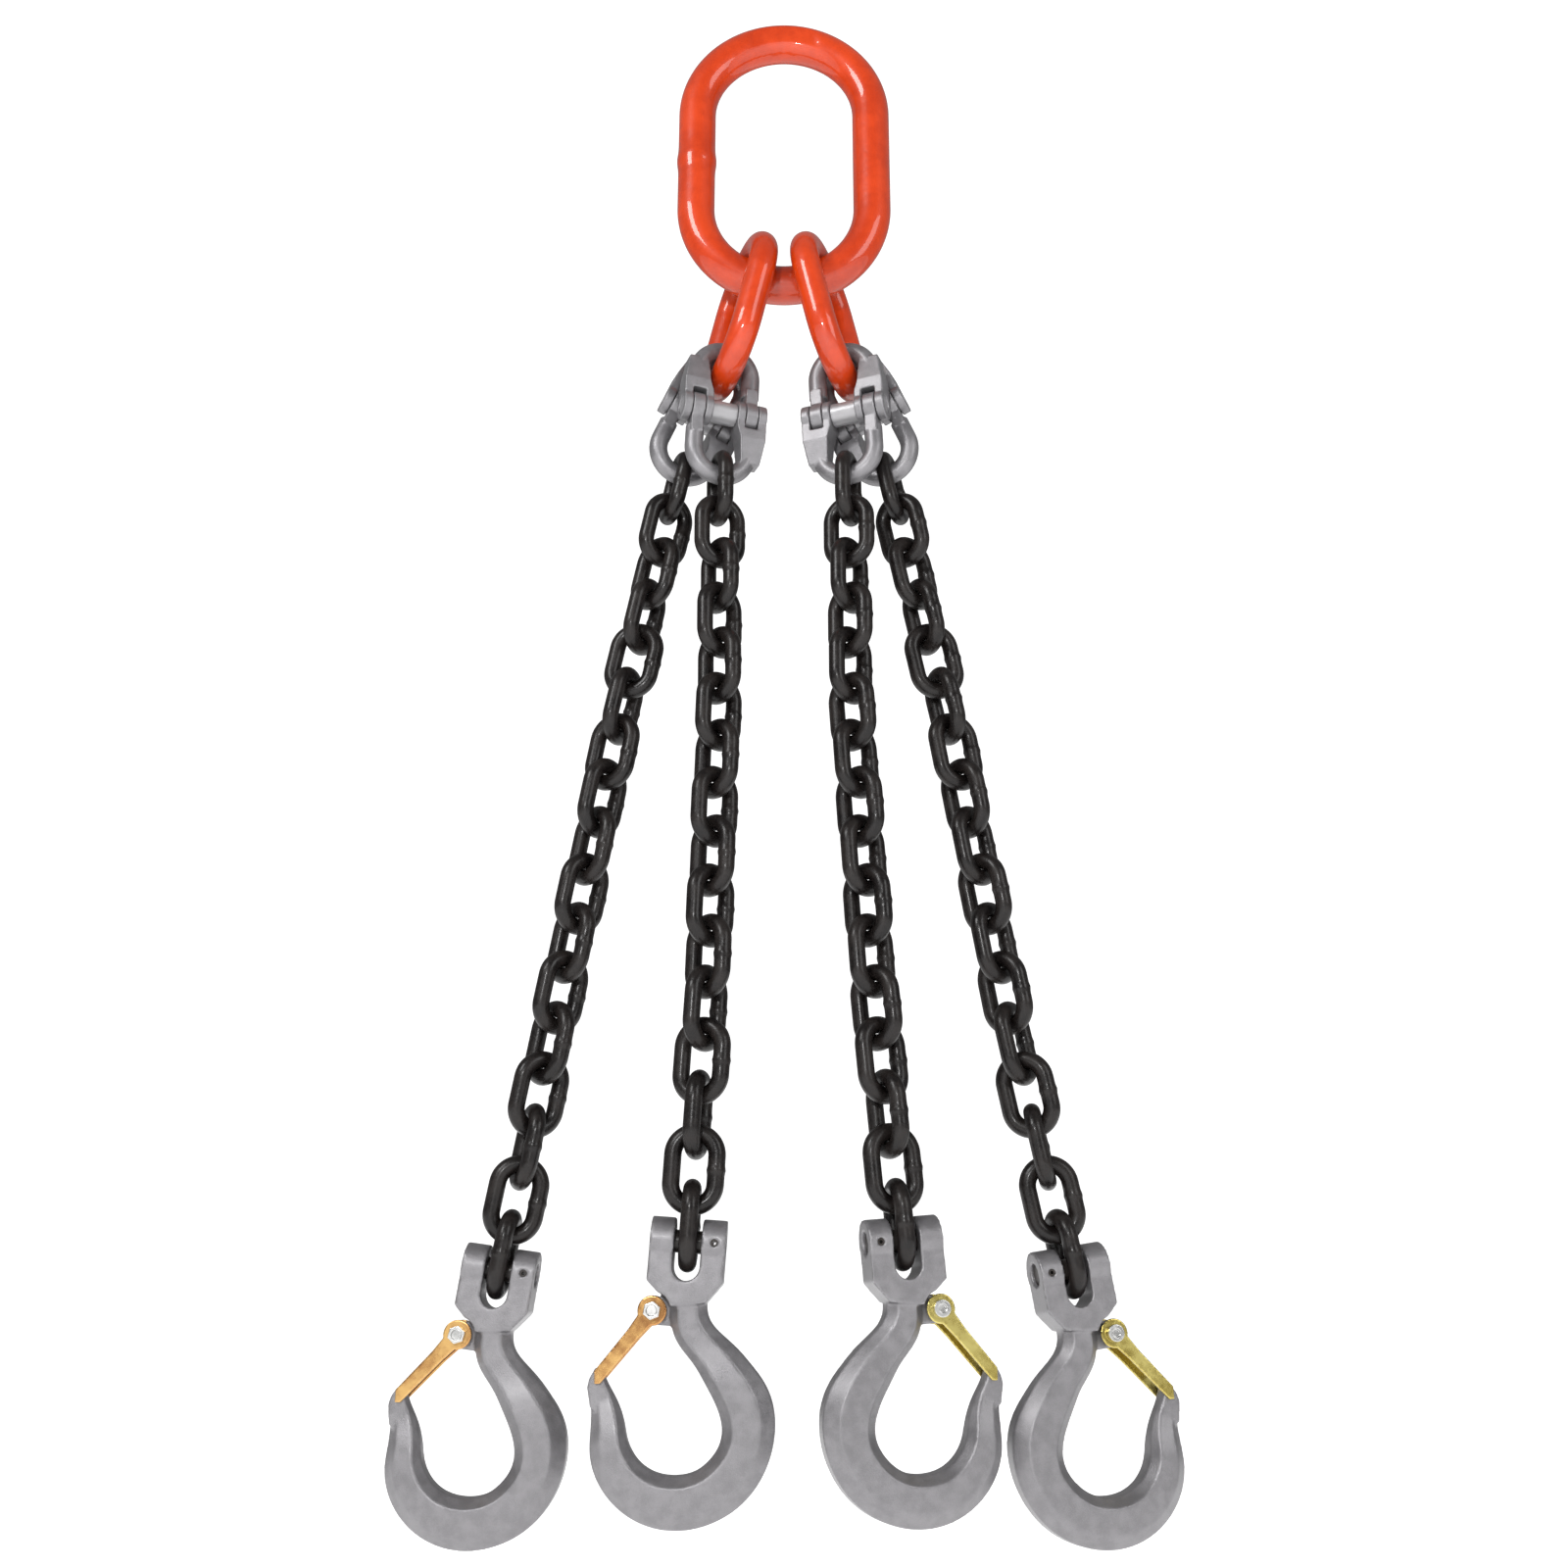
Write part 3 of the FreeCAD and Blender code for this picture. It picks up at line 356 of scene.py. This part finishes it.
linkPiece("masterLink", masterLook, [flatFrame("master_link")], orangePaint, "master_link")
for side in ("left", "right"):
    name = f"sub_link_{side}"
    linkPiece(f"subLink.{side}", subLook, [flatFrame(name)], orangePaint, name)
print("master link and sub-links made")

# distances from link to link and from a run's hinge to its first link's centre, the half length
# of the limbs looked at, and what is added before the count of links is rounded
chainRun = {"step": 0.0307, "fromCoupling": 0.0092, "fromLink": 0.0102, "limbReach": 0.0092,
            "countShift": 0.35}


def chainPlaces(leg, run, following):
    # link centres lie at even steps from the run's hinge towards the next one; each link's width
    # direction is the widest direction of the limbs' points round its centre
    name = f"{leg}_chain_{run}"
    start = jointPlace(f"{leg}_chain_swing" if run == "upper" else f"{leg}_chain_bend_{run}")
    end = jointPlace(following)
    down = unitVector(end - start)
    first = chainRun["fromCoupling"] if run == "upper" else chainRun["fromLink"]
    points = nodePoints(name)
    along = (points - start) @ down
    count = int(round((along.max() - first) / chainRun["step"] + chainRun["countShift"]))
    places = []
    for number in range(count):
        reach = first + number * chainRun["step"]
        centre = start + down * reach
        limbs = points[np.abs(along - reach) < chainRun["limbReach"]] - centre
        flat = limbs - np.outer(limbs @ down, down)
        width = np.linalg.eigh(flat.T @ flat)[1][:, 2]
        places.append((centre, width, np.cross(-down, width), -down))
    return places


for leg in legNames:
    runs = (("upper", f"{leg}_chain_bend_middle"), ("middle", f"{leg}_chain_bend_lower"),
            ("lower", f"{leg}_hook_swing"))
    for run, following in runs:
        name = f"{leg}_chain_{run}"
        places = chainPlaces(leg, run, following)
        linkPiece(f"{leg}.chain.{run}", chainLook, places, blackLacquer, name)
print("chain made")


forgingLook = {"hookVoxel": 0.0008, "hookSmooth": 4, "couplingVoxel": 0.00055, "couplingSmooth": 4,
               "latchVoxel": 0.00038, "latchSmooth": 3, "boltVoxel": 0.0002, "boltSmooth": 4,
               "weldWithin": 0.00001, "smoothFactor": 0.5}


def joinedMesh(name, node, points, faces):
    # a copy of a node's mesh with more points and faces beside its own
    own = nodePoints(node)
    ownFaces = [list(face.vertices) for face in nodes[node].data.polygons]
    moved = [[corner + len(own) for corner in face] for face in faces]
    joined = bpy.data.meshes.new(name)
    joined.from_pydata(own.tolist() + points.tolist(), [], ownFaces + moved)
    return joined


def forgedPiece(name, node, body, voxel, rounds, material, extra=None):
    # the node's own shape with any extra lump, filled with voxels and relaxed so that every edge
    # is round as a forging's
    points, faces = extra or (np.zeros((0, 3)), [])
    mesh = joinedMesh(name, node, points, faces)
    piece = bpy.data.objects.new(name, mesh)
    bpy.context.scene.collection.objects.link(piece)
    mesh.materials.append(material)
    weld = piece.modifiers.new("weld", "WELD")
    weld.merge_threshold = forgingLook["weldWithin"]
    remesh = piece.modifiers.new("remesh", "REMESH")
    remesh.mode = "VOXEL"
    remesh.voxel_size = voxel
    remesh.use_smooth_shade = True
    smooth = piece.modifiers.new("smooth", "SMOOTH")
    smooth.factor = forgingLook["smoothFactor"]
    smooth.iterations = rounds
    bpy.context.view_layer.update()
    finished = bpy.data.meshes.new_from_object(
        piece.evaluated_get(bpy.context.evaluated_depsgraph_get()))
    piece.modifiers.clear()
    piece.data = finished
    if not finished.materials:
        finished.materials.append(material)
    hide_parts(node)
    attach(piece, body)
    return piece


# corners of the lip on the hook's tip, sideways and up from the load pin
tipLook = {
    "corners": [(-0.0455, -0.0900), (-0.0481, -0.0800), (-0.0474, -0.0752), (-0.0446, -0.0695),
                (-0.0412, -0.0693), (-0.0395, -0.0760), (-0.0365, -0.0850), (-0.0400, -0.0930)],
    "halfThickness": 0.0058}


def tipLip(leg):
    # the lip's outline carried through the tip's thickness, in the hook's own directions
    origin, x = jointPlace(f"{leg}_hook_swing"), jointAxis(f"{leg}_hook_swing")
    y = jointAxis(f"{leg}_latch_open")
    # the latch's pivot lies on the open side, and the hook hangs down
    x = x if (jointPlace(f"{leg}_latch_open") - origin) @ x < 0 else -x
    z = np.cross(x, y)
    z = z if z[2] > 0 else -z
    outline = np.array(tipLook["corners"])
    count = len(outline)
    flat = origin + outline[:, :1] * x + outline[:, 1:] * z
    half = y * tipLook["halfThickness"]
    points = np.concatenate([flat - half, flat + half])
    sides = [[n, (n + 1) % count, count + (n + 1) % count, count + n] for n in range(count)]
    return points, sides + [list(range(count))[::-1], list(range(count, 2 * count))]


for leg in legNames:
    forgedPiece(f"{leg}.hook", f"{leg}_hook", f"{leg}_hook", forgingLook["hookVoxel"],
                forgingLook["hookSmooth"], silverPaint, tipLip(leg))
    latchFinish = copperZinc if leg in ("leg_1", "leg_2") else goldZinc
    forgedPiece(f"{leg}.latch", f"{leg}_latch", f"{leg}_latch", forgingLook["latchVoxel"],
                forgingLook["latchSmooth"], latchFinish)
    for kind in ("latch_bolt", "latch_nut"):
        forgedPiece(f"{leg}.{kind}", f"{leg}_{kind}", f"{leg}_hook",
                    forgingLook["boltVoxel"], forgingLook["boltSmooth"], brightZinc)
    for half in ("upper", "lower"):
        node = f"{leg}_coupling_{half}"
        forgedPiece(f"{leg}.coupling.{half}", node, node, forgingLook["couplingVoxel"],
                    forgingLook["couplingSmooth"], silverPaint)
print("forgings made")

finishOf = {"coupling_pin": silverPaint, "coupling_bush": silverPaint, "clevis_pin": blackLacquer,
            "roll_pin": blackLacquer, "latch_spring": brightZinc}
for leg in legNames:
    for kind, finish in finishOf.items():
        nodes[f"{leg}_{kind}"].material_slots[0].material = finish

stageLook = {"floorGap": 0.06, "floorRadius": 6.0, "floorCorners": 96, "floorShade": 0.94,
             "floorRoughness": 0.9, "glow": 0.95, "worldLight": 0.27, "worldSeen": 1.2}


def studioFloor():
    # a wide pale disc under the object, faintly lit from within so that it stays white
    count, radius = stageLook["floorCorners"], stageLook["floorRadius"]
    turn = np.arange(count) / count * 2 * math.pi
    level = np.full(count, cadBox[0][2] - stageLook["floorGap"])
    points = np.stack([np.cos(turn) * radius, np.sin(turn) * radius, level], axis=1)
    white = bpy.data.materials.new("floorWhite")
    white.use_nodes = True
    shader = white.node_tree.nodes["Principled BSDF"]
    shader.inputs["Base Color"].default_value = (*[stageLook["floorShade"]] * 3, 1)
    shader.inputs["Roughness"].default_value = stageLook["floorRoughness"]
    shader.inputs["Emission Color"].default_value = (1, 1, 1, 1)
    shader.inputs["Emission Strength"].default_value = stageLook["glow"]
    return makeMesh("studioFloor", points, [list(range(count))], white)


def studioWorld():
    # the camera sees a white surround, and the object is lit by a dimmer one
    world = bpy.data.worlds.new("studio")
    world.use_nodes = True
    tree = world.node_tree
    background = tree.nodes["Background"]
    background.inputs["Color"].default_value = (1, 1, 1, 1)
    seen = tree.nodes.new("ShaderNodeLightPath").outputs["Is Camera Ray"]
    extra = mathNode(tree, "MULTIPLY", seen, stageLook["worldSeen"] - stageLook["worldLight"])
    strength = mathNode(tree, "ADD", extra, stageLook["worldLight"])
    tree.links.new(strength, background.inputs["Strength"])
    return world


studioFloor()

# the camera looks upwards by a number of degrees; its sensor and focal length are in millimetres
cameraLook = {"up": 17.0, "distance": 1.054, "target": (0.0, 0.0, -0.5342), "sensor": 36.0,
              "focus": 39.375, "clipEnd": 50}


def addCamera():
    camera = bpy.data.objects.new("camera", bpy.data.cameras.new("camera"))
    camera.data.lens = cameraLook["focus"]
    camera.data.sensor_width = cameraLook["sensor"]
    camera.data.clip_end = cameraLook["clipEnd"]
    tilt = math.radians(cameraLook["up"])
    away = Vector((0, -math.cos(tilt), -math.sin(tilt))) * cameraLook["distance"]
    camera.location = Vector(cameraLook["target"]) + away
    camera.rotation_euler = (math.pi / 2 + tilt, 0, 0)
    bpy.context.scene.collection.objects.link(camera)
    bpy.context.scene.camera = camera


def addLight(name, place, target, size, watts):
    light = bpy.data.objects.new(name, bpy.data.lights.new(name, "AREA"))
    light.data.shape = "RECTANGLE"
    light.data.size, light.data.size_y = size
    light.data.energy = watts
    light.location = place
    light.rotation_euler = (Vector(target) - Vector(place)).to_track_quat("-Z", "Y").to_euler()
    bpy.context.scene.collection.objects.link(light)


addCamera()
lights = {
    "keyLight": {"place": (-1.5, -1.8, 0.9), "target": (0, 0, -0.45),
                 "size": (0.9, 0.9), "watts": 36},
    "fillLight": {"place": (1.8, -1.7, 0.3), "target": (0, 0, -0.5),
                  "size": (1.0, 1.4), "watts": 18},
    "lowLight": {"place": (0.0, -1.6, -1.5), "target": (0, 0, -0.8),
                 "size": (1.2, 0.5), "watts": 4},
    "glintLight": {"place": (-0.25, -1.6, -0.35), "target": (0, 0, -0.45),
                   "size": (0.1, 0.1), "watts": 9},
}
for lightName, light in lights.items():
    addLight(lightName, light["place"], light["target"], light["size"], light["watts"])
bpy.context.scene.world = studioWorld()
bpy.context.scene.view_settings.view_transform = "Standard"
print("stage set")
